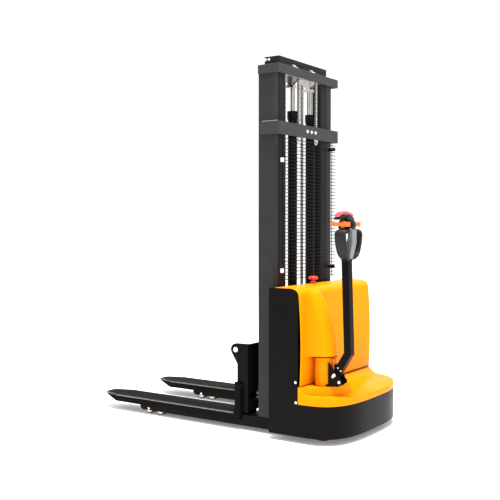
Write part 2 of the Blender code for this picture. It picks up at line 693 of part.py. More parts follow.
# ---------------------------------------------------------------- carriage and forks
def add_carriage(truck):
    truck.body("carriage", (PLATE_X[0], 0, PLATE_Z[0]), "inner_mast")
    lobe_x, lobe_z, lobe_r = LOBE
    outline = [
        (PLATE_X[0], PLATE_Z[0]),
        (HEEL_X[0] - GAP, PLATE_Z[0]),
        (HEEL_X[0] - GAP, HEEL_TOP_Z + GAP),
        (PLATE_X[1], HEEL_TOP_Z + GAP),
        (PLATE_X[1], 0.370),
        *arc((lobe_x, lobe_z), lobe_r, -28, 90, 8),
        (PLATE_X[0], PLATE_Z[1]),
    ]
    left = plate(outline, "XZ", *PLATE_Y)
    right = mirrored(left)
    inside = PLATE_Y[0] + 0.002
    back = box((PLATE_X[0], -inside, 0.210), (PLATE_X[0] + 0.012, inside, 0.485))
    low = box((PLATE_X[0], -inside, 0.105), (HEEL_X[0] - GAP, inside, 0.165))
    pieces = [right, back, low]
    for sign in (1, -1):
        arm_y = sorted((sign * 0.170, sign * 0.195))
        pieces.append(box((-0.372, arm_y[0], 0.166), (PLATE_X[0] + 0.002, arm_y[1], 0.460)))
        x, z = CARRIAGE_ROLLER
        pieces.append(rod((x, sign * 0.190, z), (x, sign * 0.252, z), 0.012))
    pieces.append(box((-0.3463, -0.172, 0.452), (-0.3243, 0.172, CHAIN_LOW_Z - GAP)))
    frame = joined(left, *pieces)
    pin_hole = rod((lobe_x, -0.34, lobe_z), (lobe_x, 0.34, lobe_z), 0.0123, 16)
    truck.add("carriage_frame", cut(frame, pin_hole), "chassis_paint", "carriage")

    pin = rod((lobe_x, -0.331, lobe_z), (lobe_x, 0.331, lobe_z), 0.012, 16)
    truck.add("tie_bar", pin, "steel", "carriage")
    for side, sign in (("left", 1), ("right", -1)):
        name = f"carriage_roller_{side}"
        centre = (CARRIAGE_ROLLER[0], sign * 0.232, CARRIAGE_ROLLER[1])
        truck.body(name, centre, "carriage")
        truck.add(name, guide_roller(centre, 0.0355, 0.0125), "steel", name)
    add_forks(truck)


def add_forks(truck):
    """Each fork is an upside-down channel with a heel, its tip tapered in plan and from below."""
    tip_x = LENGTH / 2
    taper_x = tip_x - 0.120
    outline = [
        (HEEL_X[0], FORK_Y - FORK_HALF),
        (taper_x, FORK_Y - FORK_HALF),
        (tip_x - 0.020, FORK_Y - 0.052),
        (tip_x, FORK_Y - 0.034),
        (tip_x, FORK_Y + 0.034),
        (tip_x - 0.020, FORK_Y + 0.052),
        (taper_x, FORK_Y + FORK_HALF),
        (HEEL_X[0], FORK_Y + FORK_HALF),
    ]
    fork = plate(outline, "XY", FORK_LOW_Z, FORK_TOP_Z)
    inner = FORK_HALF - 0.006
    room = box((HEEL_X[0] - 0.01, FORK_Y - inner, 0.0), (taper_x - 0.006, FORK_Y + inner, 0.0889))
    side = [
        (taper_x - 0.010, 0.0),
        (taper_x - 0.010, FORK_LOW_Z),
        (tip_x + 0.010, 0.090),
        (tip_x + 0.010, 0.0),
    ]
    wedge = plate(side, "XZ", FORK_Y - 0.1, FORK_Y + 0.1)
    fork = cut(fork, room, wedge)
    chamfer = 0.026
    heel = [
        (HEEL_X[0], 0.0875),
        (HEEL_X[1], 0.0875),
        (HEEL_X[1], HEEL_TOP_Z),
        (HEEL_X[0] + chamfer, HEEL_TOP_Z),
        (HEEL_X[0], HEEL_TOP_Z - chamfer),
    ]
    block = plate(heel, "XZ", FORK_Y - FORK_HALF, FORK_Y + FORK_HALF)
    truck.add_pair("fork", joined(fork, block), "chassis_paint", "carriage")


# ---------------------------------------------------------------- drive unit
def add_drive_unit(truck):
    x, y = STEER_X, STEER_Y
    ring = [(0.0757, 0.0), (0.108, 0.0), (0.108, -0.010), (0.0757, -0.010)]
    top = DECK_PLATE_Z[1] + GAP + 0.010
    truck.add("slewing_ring", turned(ring, (x, y, top), "Z", 32), "cast_iron", "chassis")

    truck.body("drive_unit", (x, y, DECK_PLATE_Z[1]), "chassis")
    flange = rod((x, y, 0.2125), (x, y, FLANGE_TOP_Z), 0.0752, 32)
    leg = box((x - 0.045, y - 0.108, 0.045), (x + 0.045, y - WHEEL_HALF - 0.006, 0.2165))
    axle = rod((x, y - WHEEL_HALF - 0.010, WHEEL_R), (x, y + WHEEL_HALF + 0.004, WHEEL_R), 0.015, 16)
    truck.add("gearbox", joined(flange, leg, axle), "cast_iron", "drive_unit")
    motor = rod((x, y, FLANGE_TOP_Z + GAP), (x, y, COLUMN_TOP_Z - 0.010), COLUMN_R - 0.0045, 24)
    truck.add("drive_motor", motor, "cast_iron", "drive_unit")
    skin = COLUMN_R - 0.003
    column = [
        (0.0, COLUMN_TOP_Z),
        (COLUMN_R - 0.003, COLUMN_TOP_Z),
        (COLUMN_R, COLUMN_TOP_Z - 0.003),
        (COLUMN_R, FLANGE_TOP_Z + GAP),
        (skin, FLANGE_TOP_Z + GAP),
        (skin, COLUMN_TOP_Z - 0.004),
        (0.0, COLUMN_TOP_Z - 0.004),
    ]
    truck.add("column_cover", turned(column, (x, y, 0), "Z", 32), "yellow_cover", "drive_unit")

    truck.body("drive_wheel", (x, y, WHEEL_R), "drive_unit")
    hub = [(0.0155, 0.034), (HUB_R, 0.034), (HUB_R, -0.034), (0.0155, -0.034)]
    truck.add("drive_hub", turned(hub, (x, y, WHEEL_R), "Y", 48), "cast_iron", "drive_wheel")
    tyre = [
        (HUB_R + GAP, WHEEL_HALF - 0.002),
        (WHEEL_R - 0.004, WHEEL_HALF),
        (WHEEL_R, WHEEL_HALF - 0.005),
        (WHEEL_R, -WHEEL_HALF + 0.005),
        (WHEEL_R - 0.004, -WHEEL_HALF),
        (HUB_R + GAP, -WHEEL_HALF + 0.002),
    ]
    truck.add("drive_tyre", turned(tyre, (x, y, WHEEL_R), "Y", 48), "polyurethane", "drive_wheel")


def add_tiller_bracket(truck):
    x, y = STEER_X, STEER_Y
    # A sleeve round the column, sunk in the deck all round except where the cheeks stand on it.
    sleeve = [
        (COLUMN_R + 0.0005, 0.3115),
        (0.0560, 0.3115),
        (0.0560, FLANGE_TOP_Z + GAP),
        (COLUMN_R + 0.0005, FLANGE_TOP_Z + GAP),
    ]
    base = turned(sleeve, (x, y, 0), "Z", 28)
    sunk = DECK_TOP_Z - 0.0015
    base = cut(base, box((x - 0.035, y - 0.1, sunk), (x + 0.1, y + 0.1, 0.35)))
    outline = [
        (-0.7390, 0.3060),
        (-0.7960, 0.3060),
        *arc((-0.8035, 0.3270), 0.0135, 250, 110, 5),
        (-0.7960, 0.3640),
        (-0.7700, 0.3950),
        (-0.7440, 0.4280),
        (-0.7390, 0.4280),
    ]
    cheeks = [plate(outline, "XZ", y + dy, y + dy + 0.006) for dy in (0.0305, -0.0365)]
    floor = box((-0.7960, y - 0.0365, 0.3040), (-0.7465, y + 0.0365, 0.3115))
    bracket = joined(base, *cheeks, floor)
    hole = rod((PIVOT[0], y - 0.05, PIVOT[1]), (PIVOT[0], y + 0.05, PIVOT[1]), 0.0083, 16)
    truck.add("tiller_bracket", cut(bracket, hole), "chassis_paint", "drive_unit")
    pin = rod((PIVOT[0], y - 0.041, PIVOT[1]), (PIVOT[0], y + 0.041, PIVOT[1]), 0.008, 16)
    truck.add("tiller_pivot_pin", pin, "steel", "drive_unit")
    # A buffer on the column that the upright tiller leans on.
    buffer = box((-0.7640, y - 0.011, 0.4150), (x - COLUMN_R - GAP, y + 0.011, 0.4480))
    truck.add("tiller_buffer", buffer, "orange_plastic", "drive_unit")


def ribbon(points, half_width):
    """The outline of a bent strip of even width, mitred at its corners."""
    sides = []
    for sign in (1, -1):
        row = []
        for i, point in enumerate(points):
            before = Vector(points[max(i - 1, 0)])
            after = Vector(points[min(i + 1, len(points) - 1)])
            here = Vector(point)
            ways = [way.normalized() for way in (here - before, after - here) if way.length > 0]
            along = sum(ways, Vector((0, 0))).normalized()
            across = Vector((-along.y, along.x))
            stretch = 1 / max(across.dot(Vector((-ways[0].y, ways[0].x))), 0.5)
            row.append(tuple(here + across * sign * half_width * stretch))
        sides.append(row)
    return sides[0] + sides[1][::-1]


def add_tiller(truck):
    (x, z), y = PIVOT, STEER_Y
    truck.body("tiller", (x, y, z), "drive_unit")
    strip = ribbon([PIVOT, ELBOW, ARM_TOP], ARM_HALF - 0.001)
    arm = plate(strip, "XZ", y - ARM_HALF, y + ARM_HALF)
    eye = rod((x, y - ARM_HALF, z), (x, y + ARM_HALF, z), 0.019, 20)
    arm = joined(arm, eye)
    hole = rod((x, y - 0.05, z), (x, y + 0.05, z), 0.0083, 16)
    truck.add("tiller_arm", cut(arm, hole), "chassis_paint", "tiller")
    add_head(truck)


def loop_hole(sign):
    """The opening of a hand loop, from above the hub's foot to the crossbar."""
    y, low, high = STEER_Y, 1.012, LOOP_TOP_Z - 0.030
    hole = [(0.036, low), (0.066, 1.040), (0.081, 1.080), (0.081, high), (0.036, high)]
    return plate([(y + sign * across, z) for across, z in hole], "YZ", -0.9, -0.7)


def add_head(truck):
    """The control head: a hub that leans back, a drum, a hand loop on each side and a bridge."""
    y, low = STEER_Y, ARM_TOP[1] + 0.001
    half = [
        (0.025, low + 0.004),
        (0.060, 0.992),
        (0.088, 1.030),
        (LOOP_HALF, 1.080),
        (LOOP_HALF, LOOP_TOP_Z - 0.024),
        (0.098, LOOP_TOP_Z - 0.008),
        (0.088, LOOP_TOP_Z),
    ]
    outline = [(y + across, z) for across, z in half]
    outline += [(y - across, z) for across, z in reversed(half)]
    loops = rounded(plate(outline, "YZ", *LOOP_X), 0.008, 2)
    loops = cut(loops, loop_hole(1), loop_hole(-1))
    side = [
        (-0.8045, low),
        (-0.8045, 1.006),
        (-0.8300, 1.045),
        (-0.8460, 1.095),
        (-0.8460, 1.135),
        (-0.8620, 1.149),
        (-0.8730, 1.136),
        (-0.8730, 1.070),
        (-0.8540, low),
    ]
    hub = plate(side, "XZ", y - 0.027, y + 0.027)
    drum_x, drum_z, drum_r = DRUM
    drum = rod((drum_x, y - 0.024, drum_z), (drum_x, y + 0.024, drum_z), drum_r, 28)
    centre = (y, BRIDGE_Z[1] - BRIDGE_R)
    reach = math.degrees(math.asin(BRIDGE_HALF / BRIDGE_R))
    arch = [*arc(centre, BRIDGE_R, 90 - reach, 90 + reach, 10)]
    arch += [(y - BRIDGE_HALF, BRIDGE_Z[0]), (y + BRIDGE_HALF, BRIDGE_Z[0])]
    shell = joined(loops, hub, drum, plate(arch, "YZ", *BRIDGE_X))
    shaft_x, shaft_z = SWITCH
    bores = [
        rod((shaft_x, y - 0.07, shaft_z), (shaft_x, y + 0.07, shaft_z), 0.0062, 12),
        rod((BELLY_X, y, 1.184), (BELLY_X, y, 1.230), 0.0105, 16),
    ]
    for z in BUTTONS.values():
        bores.append(rod((-0.8045, y, z), (-0.7600, y, z), 0.0078, 14))
    truck.add("head_shell", cut(shell, *bores), "grey_plastic", "tiller")
    add_controls(truck, centre)


def add_controls(truck, centre):
    """The thumb switch, the belly button over the bridge, and the lift and lower buttons."""
    y = STEER_Y
    shaft_x, shaft_z = SWITCH
    truck.body("thumb_switch", (shaft_x, y, shaft_z), "tiller")
    shaft = rod((shaft_x, y - 0.088, shaft_z), (shaft_x, y + 0.088, shaft_z), 0.0058, 12)
    bow_tie = [(-0.042, 0.012), (-0.012, 0.0075), (0.012, 0.0075), (0.042, 0.0105)]
    rim = [(shaft_x + along, shaft_z + up) for along, up in bow_tie]
    rim += [(shaft_x + along, shaft_z - up) for along, up in reversed(bow_tie)]
    wings = [plate(rim, "XZ", *sorted((y + sign * 0.028, y + sign * 0.090))) for sign in (1, -1)]
    truck.add("thumb_switch", joined(shaft, *wings), "orange_plastic", "thumb_switch")

    inner = BRIDGE_R + BELLY_GAP
    truck.body("belly_button", (BELLY_X, y, centre[1] + inner), "tiller")
    band = list(arc(centre, inner + BELLY_THICK, 64.5, 115.5, 12))
    band += list(arc(centre, inner, 115.5, 64.5, 12))
    cap = rounded(plate(band, "YZ", BELLY_X - 0.024, BELLY_X + 0.024), 0.005, 1)
    stem = rod((BELLY_X, y, 1.189), (BELLY_X, y, centre[1] + inner + 0.006), 0.010, 16)
    truck.add("belly_button", joined(cap, stem), "red_plastic", "belly_button")
    for name, z in BUTTONS.items():
        truck.body(name, (-0.7815, y, z), "tiller")
        button = rod((-0.8005, y, z), (-0.7815, y, z), 0.0074, 14)
        truck.add(name, button, "black_plastic", name)


def add_caster(truck):
    x, y = CASTER_X, CASTER_Y
    truck.body("caster_fork", (x, y, 0.150), "chassis")
    disc = rod((x, y, 0.138), (x, y, 0.1495), 0.040, 20)
    wheel_x = x - CASTER_TRAIL
    outline = [
        (x + 0.030, 0.140),
        (x - 0.038, 0.140),
        (wheel_x - 0.014, 0.052),
        (wheel_x - 0.008, 0.040),
        (wheel_x + 0.008, 0.040),
        (wheel_x + 0.014, 0.052),
    ]
    cheeks = [plate(outline, "XZ", y + dy, y + dy + 0.005) for dy in (0.021, -0.026)]
    axle = rod((wheel_x, y - 0.024, CASTER_R), (wheel_x, y + 0.024, CASTER_R), 0.006, 12)
    truck.add("caster_fork", joined(disc, *cheeks, axle), "steel", "caster_fork")
    truck.body("caster_wheel", (wheel_x, y, CASTER_R), "caster_fork")
    profile = [
        (0.0065, 0.018),
        (CASTER_R - 0.004, 0.018),
        (CASTER_R, 0.012),
        (CASTER_R, -0.012),
        (CASTER_R - 0.004, -0.018),
        (0.0065, -0.018),
    ]
    wheel = turned(profile, (wheel_x, y, CASTER_R), "Y", 32)
    truck.add("caster_wheel", wheel, "polyurethane", "caster_wheel")


def main():
    clear_scene()
    truck = Truck()
    truck.body("chassis", (0, 0, 0))
    add_chassis(truck)
    add_legs(truck)
    add_load_rollers(truck)
    add_covers(truck)
    add_power_pack(truck)
    add_emergency_stop(truck)
    add_outer_mast(truck)
    add_inner_mast(truck)
    add_chains(truck)
    add_carriage(truck)
    add_drive_unit(truck)
    add_tiller_bracket(truck)
    add_tiller(truck)
    add_caster(truck)


main()
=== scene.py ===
"""The walkie stacker's looks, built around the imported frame. Metres, in the frame's own axes."""

import json
import math

import bmesh
import bpy
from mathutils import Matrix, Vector


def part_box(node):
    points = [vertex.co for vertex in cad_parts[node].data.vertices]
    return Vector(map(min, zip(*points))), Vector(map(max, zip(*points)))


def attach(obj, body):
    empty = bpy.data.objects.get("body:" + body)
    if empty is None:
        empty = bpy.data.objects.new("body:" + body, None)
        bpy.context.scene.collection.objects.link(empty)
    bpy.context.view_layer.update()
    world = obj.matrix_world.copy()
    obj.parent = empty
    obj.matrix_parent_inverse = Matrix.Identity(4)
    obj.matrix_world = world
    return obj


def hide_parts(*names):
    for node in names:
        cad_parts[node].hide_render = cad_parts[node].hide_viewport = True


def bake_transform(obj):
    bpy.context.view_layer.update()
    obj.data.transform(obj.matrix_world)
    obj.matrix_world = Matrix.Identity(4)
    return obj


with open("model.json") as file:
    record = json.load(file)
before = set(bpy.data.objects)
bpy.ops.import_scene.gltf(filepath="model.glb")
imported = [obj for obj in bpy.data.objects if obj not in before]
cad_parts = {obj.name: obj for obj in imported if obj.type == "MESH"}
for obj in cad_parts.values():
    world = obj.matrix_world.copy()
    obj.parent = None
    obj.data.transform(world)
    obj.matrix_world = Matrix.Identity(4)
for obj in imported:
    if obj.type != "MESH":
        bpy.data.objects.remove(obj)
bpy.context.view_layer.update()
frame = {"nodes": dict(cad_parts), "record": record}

NODES = frame["nodes"]
BODY_OF = {n: body for body, names in frame["record"]["behaviour"]["bodies"].items() for n in names}
SLOT_OF = {part["node"]: part["material_slot"] for part in frame["record"]["subparts"]}
SIDES = (("left", 1), ("right", -1))
STEER_Y = 0.273  # middle of the steering column, the tiller and the head
CHAIN_Y = 0.101  # of each lift chain, from the middle of the mast

# ---------------------------------------------------------------- view and light
CAMERA_AT = (-2.8570, 4.2198, 1.1698)
CAMERA_HEADING, CAMERA_PITCH = -56.185, -1.8175  # degrees: from +X in plan, and from level
CAMERA_LENS, SENSOR = 60.084, 36.0  # mm
KEY_AT, KEY_TOWARDS, KEY_SIZE, KEY_POWER = (-1.1, 0.8, 5.7), (-0.3, 0.0, 0.8), 1.6, 520
WORLD_STRENGTH, FLOOR_GLOW, FLOOR_HALF = 1.1, 0.16, 40.0  # the floor glows faintly, so that it stays white


def placed(name, data):
    """A new object with this data, in the scene."""
    thing = bpy.data.objects.new(name, data)
    bpy.context.scene.collection.objects.link(thing)
    return thing


def add_camera():
    data = bpy.data.cameras.new("camera")
    data.lens, data.sensor_width = CAMERA_LENS, SENSOR
    data.clip_end = 100.0
    camera = placed("camera", data)
    heading, pitch = math.radians(CAMERA_HEADING), math.radians(CAMERA_PITCH)
    level = math.cos(pitch)
    way = Vector((level * math.cos(heading), level * math.sin(heading), math.sin(pitch)))
    camera.location = CAMERA_AT
    camera.rotation_euler = way.to_track_quat("-Z", "Y").to_euler()
    bpy.context.scene.camera = camera


def add_area(name, at, towards, size, power):
    data = bpy.data.lights.new(name, "AREA")
    data.shape, data.size, data.energy = "DISK", size, power
    light = placed(name, data)
    light.location = at
    light.rotation_euler = (Vector(towards) - Vector(at)).to_track_quat("-Z", "Y").to_euler()


def add_stage():
    bpy.context.scene.view_settings.view_transform = "Standard"
    floor_data = bpy.data.meshes.new("floor")
    work = bmesh.new()
    bmesh.ops.create_grid(work, x_segments=1, y_segments=1, size=FLOOR_HALF)
    work.to_mesh(floor_data)
    work.free()
    floor = placed("floor", floor_data)
    white = plain_material("floor", (1.0, 1.0, 1.0), 1.0)
    shader = white.node_tree.nodes["Principled BSDF"]
    shader.inputs["Emission Color"].default_value = (1, 1, 1, 1)
    shader.inputs["Emission Strength"].default_value = FLOOR_GLOW
    floor.data.materials.append(white)
    world = bpy.data.worlds.new("studio")
    world.use_nodes = True
    background = world.node_tree.nodes["Background"]
    background.inputs["Color"].default_value = (1, 1, 1, 1)
    background.inputs["Strength"].default_value = WORLD_STRENGTH
    bpy.context.scene.world = world
    add_area("key", KEY_AT, KEY_TOWARDS, KEY_SIZE, KEY_POWER)


def plain_material(name, colour, roughness):
    material = bpy.data.materials.new(name)
    material.use_nodes = True
    shader = material.node_tree.nodes["Principled BSDF"]
    shader.inputs["Base Color"].default_value = (*colour, 1)
    shader.inputs["Roughness"].default_value = roughness
    return material


# ---------------------------------------------------------------- materials
NOISE_LOW, NOISE_HIGH = 0.3, 0.7  # where nearly all of a noise texture's values lie
ROUGH_SPREAD = 0.06  # how far a finish's roughness strays from its middle
GRAIN_HEIGHT, COAT_ROUGHNESS = 0.0006, 0.15


def add_noise(tree, coords, scale, detail, roughness=0.55):
    noise = tree.nodes.new("ShaderNodeTexNoise")
    noise.inputs["Scale"].default_value = scale
    noise.inputs["Detail"].default_value = detail
    noise.inputs["Roughness"].default_value = roughness
    tree.links.new(coords, noise.inputs["Vector"])
    return noise.outputs["Fac"]


def ranged(tree, value, low, high):
    """Maps a noise value onto a range."""
    node = tree.nodes.new("ShaderNodeMapRange")
    limits = {"From Min": NOISE_LOW, "From Max": NOISE_HIGH, "To Min": low, "To Max": high}
    for socket, number in limits.items():
        node.inputs[socket].default_value = number
    tree.links.new(value, node.inputs["Value"])
    return node.outputs["Result"]


def finish_material(name, colour, roughness, grain, bump, metallic=0.0, tint=0.12, patch=9.0,
                    coat=0.0, specular=0.5, streak=None):
    """A finish with patchy colour and roughness, and a fine grain in its bump.

    grain and patch are in features per metre, and streak stretches the grain along an axis.
    """
    material = bpy.data.materials.new(name)
    material.use_nodes = True
    tree = material.node_tree
    shader = tree.nodes["Principled BSDF"]
    coords = tree.nodes.new("ShaderNodeTexCoord").outputs["Object"]
    patches = add_noise(tree, coords, patch, 5.0, 0.6)
    grain_at = coords
    if streak:
        mapping = tree.nodes.new("ShaderNodeMapping")
        mapping.inputs["Scale"].default_value = streak
        tree.links.new(coords, mapping.inputs["Vector"])
        grain_at = mapping.outputs["Vector"]
    fine = add_noise(tree, grain_at, grain, 3.0)
    mix = tree.nodes.new("ShaderNodeMix")
    mix.data_type = "RGBA"
    mix.inputs["A"].default_value = (*[c * (1 - tint) for c in colour], 1)
    mix.inputs["B"].default_value = (*[min(1.0, c * (1 + tint)) for c in colour], 1)
    tree.links.new(ranged(tree, patches, 0.0, 1.0), mix.inputs["Factor"])
    tree.links.new(mix.outputs["Result"], shader.inputs["Base Color"])
    rough = tree.nodes.new("ShaderNodeMath")
    rough.operation = "ADD"
    between = roughness - ROUGH_SPREAD, roughness + ROUGH_SPREAD
    tree.links.new(ranged(tree, patches, *between), rough.inputs[0])
    tree.links.new(ranged(tree, fine, -ROUGH_SPREAD / 2, ROUGH_SPREAD / 2), rough.inputs[1])
    tree.links.new(rough.outputs["Value"], shader.inputs["Roughness"])
    bumps = tree.nodes.new("ShaderNodeBump")
    bumps.inputs["Strength"].default_value = bump
    bumps.inputs["Distance"].default_value = GRAIN_HEIGHT
    tree.links.new(fine, bumps.inputs["Height"])
    tree.links.new(bumps.outputs["Normal"], shader.inputs["Normal"])
    shader.inputs["Metallic"].default_value = metallic
    shader.inputs["Coat Weight"].default_value = coat
    shader.inputs["Coat Roughness"].default_value = COAT_ROUGHNESS
    shader.inputs["Specular IOR Level"].default_value = specular
    return material


# Each finish: its colour, its roughness and what else differs from finish_material's own values.
LOOKS = {
    "mast_paint": ((0.025, 0.025, 0.027), 0.50, dict(bump=0.22, grain=1100, specular=0.10)),
    "chassis_paint": ((0.0050, 0.0047, 0.0040), 0.34, dict(bump=0.14, grain=1000, specular=0.04)),
    "yellow_cover": ((0.85, 0.262, 0.0015), 0.30,
                     dict(tint=0.025, bump=0.05, grain=1400, specular=0.02, patch=5)),
    "steel": ((0.50, 0.49, 0.47), 0.24, dict(metallic=1.0, tint=0.10, bump=0.12, grain=500)),
    "cast_iron": ((0.055, 0.055, 0.060), 0.62,
                  dict(metallic=0.4, tint=0.25, bump=0.5, grain=420, patch=16)),
    "polyurethane": ((0.130, 0.012, 0.008), 0.42,
                     dict(tint=0.18, bump=0.18, grain=700, patch=20, specular=0.35)),
    "black_plastic": ((0.0075, 0.0075, 0.0085), 0.40, dict(bump=0.3, grain=1500, specular=0.12)),
    "grey_plastic": ((0.115, 0.130, 0.145), 0.50, dict(bump=0.30, grain=1600, specular=0.30, tint=0.08)),
    "orange_plastic": ((0.86, 0.15, 0.012), 0.40, dict(tint=0.05, bump=0.15, grain=1500, specular=0.3)),
    "red_plastic": ((0.78, 0.030, 0.025), 0.32, dict(tint=0.06, bump=0.08, grain=1500, coat=0.2)),
    # The rest are finishes of single pieces, each a kind of one of the slots above.
    "collar": ((0.036, 0.036, 0.039), 0.50, dict(bump=0.25, grain=1100, specular=0.14)),
    # The same paint as mast_paint, made darker: painted shade for the inner mast, which lies in shadow
    # between the rails.
    "inner_mast": ((0.013, 0.013, 0.014), 0.50, dict(bump=0.22, grain=1100, specular=0.08)),
    "zinc": ((0.80, 0.80, 0.78), 0.30, dict(metallic=0.5, tint=0.05, bump=0.1, grain=800)),
    "pulley": ((0.40, 0.355, 0.31), 0.30,
               dict(metallic=0.5, tint=0.10, bump=0.12, grain=600, streak=(1, 0.1, 1))),
    "chain": ((0.085, 0.080, 0.072), 0.34, dict(metallic=0.7, tint=0.35, bump=0.15, grain=700, patch=120)),
    "ram": ((0.0035, 0.0035, 0.004), 0.34, dict(bump=0.10, grain=900, specular=0.08)),
    # Light grey: a painted highlight on the forks' edge beads, and the same grey on the mid collar's welds.
    "worn_and_highlight": ((0.22, 0.22, 0.21), 0.42, dict(metallic=0.2, tint=0.20, bump=0.2, grain=900, patch=30)),
    "fork": ((0.0062, 0.0058, 0.0050), 0.50, dict(bump=0.20, grain=1000, specular=0.012)),
    "trim": ((0.19, 0.195, 0.205), 0.45, dict(bump=0.25, grain=1600, specular=0.3, tint=0.06)),
    "grip": ((0.010, 0.010, 0.0115), 0.48, dict(bump=0.4, grain=1700, specular=0.22)),
    "belly": ((0.82, 0.050, 0.085), 0.34, dict(tint=0.06, bump=0.08, grain=1500, coat=0.3)),
}


def make_materials():
    return {
        name: finish_material(name, colour, roughness, **options)
        for name, (colour, roughness, options) in LOOKS.items()
    }


# ---------------------------------------------------------------- shapes
def finish(name, work, body, slot, material=None, sharp=38, stands_for=()):
    """Turns a bmesh into a piece that moves with a body, or leaves it free where body is None."""
    mesh = bpy.data.meshes.new(name)
    bmesh.ops.recalc_face_normals(work, faces=work.faces)
    work.to_mesh(mesh)
    work.free()
    piece = placed(name, mesh)
    mesh.shade_smooth()
    mesh.set_sharp_from_angle(angle=math.radians(sharp))
    mesh.materials.append(MATERIALS[material or slot])
    if body:
        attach(piece, body)
    if stands_for:
        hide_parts(*stands_for)
    return piece


def spokes(axis, steps):
    """Unit vectors square to an axis, all the way round it."""
    side = axis.orthogonal().normalized()
    other = axis.cross(side)
    turns = [2 * math.pi * step / steps for step in range(steps)]
    return [side * math.cos(turn) + other * math.sin(turn) for turn in turns]


def add_lathe(work, profile, centre, axis, steps):
    """A profile of (radius, height) points turned about an axis, closed where it starts and ends."""
    centre, axis = Vector(centre), Vector(axis).normalized()
    rings = []
    for radius, height in profile:
        at = centre + axis * height
        if radius < 1e-6:
            rings.append([work.verts.new(at)])
        else:
            rings.append([work.verts.new(at + way * radius) for way in spokes(axis, steps)])
    for a, b in zip(rings, rings[1:]):
        for i in range(steps):
            j = (i + 1) % steps
            corners = [a[i % len(a)], a[j % len(a)], b[j % len(b)], b[i % len(b)]]
            corners = [v for n, v in enumerate(corners) if v not in corners[:n]]
            if len(corners) > 2:
                work.faces.new(corners)
    for ring in (rings[0], rings[-1]):
        if len(ring) > 1:
            work.faces.new(ring)


def add_ring(work, profile, centre, axis, steps):
    """A profile of (radius, height) corners, closed on itself, turned about an axis it doesn't meet."""
    centre, axis = Vector(centre), Vector(axis).normalized()
    rings = []
    for way in spokes(axis, steps):
        points = [centre + axis * height + way * radius for radius, height in profile]
        rings.append([work.verts.new(point) for point in points])
    for a, b in zip(rings, rings[1:] + rings[:1]):
        for i in range(len(a)):
            j = (i + 1) % len(a)
            work.faces.new((a[i], a[j], b[j], b[i]))


def add_prism(work, outline, plane, low, high, bevel=0.0, segments=2):
    """A flat outline in a plane, with thickness along the third axis and rounded edges."""
    place = {
        "XY": lambda u, v, w: (u, v, w),
        "XZ": lambda u, v, w: (u, w, v),
        "YZ": lambda u, v, w: (w, u, v),
    }[plane]
    first = [work.verts.new(place(u, v, low)) for u, v in outline]
    last = [work.verts.new(place(u, v, high)) for u, v in outline]
    faces = [work.faces.new(first), work.faces.new(last[::-1])]
    for i in range(len(outline)):
        j = (i + 1) % len(outline)
        faces.append(work.faces.new((first[i], last[i], last[j], first[j])))
    if bevel:
        bmesh.ops.recalc_face_normals(work, faces=faces)
        edges = {e for face in faces for e in face.edges if e.calc_face_angle(0.0) > math.radians(35)}
        bmesh.ops.bevel(
            work, geom=list(edges), offset=bevel, segments=segments, profile=0.5, affect="EDGES"
        )


def add_box(work, low, high, bevel=0.0):
    """A box between two corners."""
    outline = [(low[0], low[1]), (high[0], low[1]), (high[0], high[1]), (low[0], high[1])]
    add_prism(work, outline, "XY", low[2], high[2], bevel)


def add_tube(work, points, radius=0.0, sides=8, squeeze=None):
    """A tube through points, with a radius or with the half sizes of each ring in squeeze."""
    points = [Vector(p) for p in points]
    rings = []
    for i, point in enumerate(points):
        along = (points[min(i + 1, len(points) - 1)] - points[max(i - 1, 0)]).normalized()
        fixed = Vector((1, 0, 0)) if abs(along.x) < 0.9 else Vector((0, 1, 0))
        across = along.cross(fixed).normalized()
        up = across.cross(along).normalized()
        wide, deep = (radius, radius) if squeeze is None else squeeze[i]
        ring = []
        for step in range(sides):
            turn = 2 * math.pi * step / sides
            c, s = math.cos(turn), math.sin(turn)
            if squeeze is not None:  # a rounded rectangle rather than an ellipse
                c = math.copysign(abs(c) ** 0.6, c)
                s = math.copysign(abs(s) ** 0.6, s)
            ring.append(work.verts.new(point + across * c * wide + up * s * deep))
        rings.append(ring)
    for a, b in zip(rings, rings[1:]):
        for i in range(sides):
            j = (i + 1) % sides
            work.faces.new((a[i], a[j], b[j], b[i]))
    work.faces.new(rings[0])
    work.faces.new(rings[-1])


def arc(centre, radius, start, end, steps):
    """Points on an arc, in degrees."""
    for step in range(steps + 1):
        angle = math.radians(start + (end - start) * step / steps)
        yield centre[0] + radius * math.cos(angle), centre[1] + radius * math.sin(angle)


def add_bolt(work, at, way, radius):
    """A washer and a hexagon head with a domed top."""
    at, way = Vector(at), Vector(way).normalized()
    washer = [(radius * 1.25, 0.0), (radius * 1.25, radius * 0.22), (radius * 1.1, radius * 0.30)]
    add_lathe(work, washer, at, way, 20)
    height = radius * 0.30
    head = [
        (radius, height),
        (radius, height + radius * 0.50),
        (radius * 0.86, height + radius * 0.62),
        (radius * 0.45, height + radius * 0.66),
        (0.0, height + radius * 0.60),
    ]
    add_lathe(work, head, at, way, 6)


def smooth_max(a, b, width):
    """The larger of two values, blended where they are within a width of each other."""
    near = max(width - abs(a - b), 0.0) / width
    return max(a, b) + near * near * width / 4


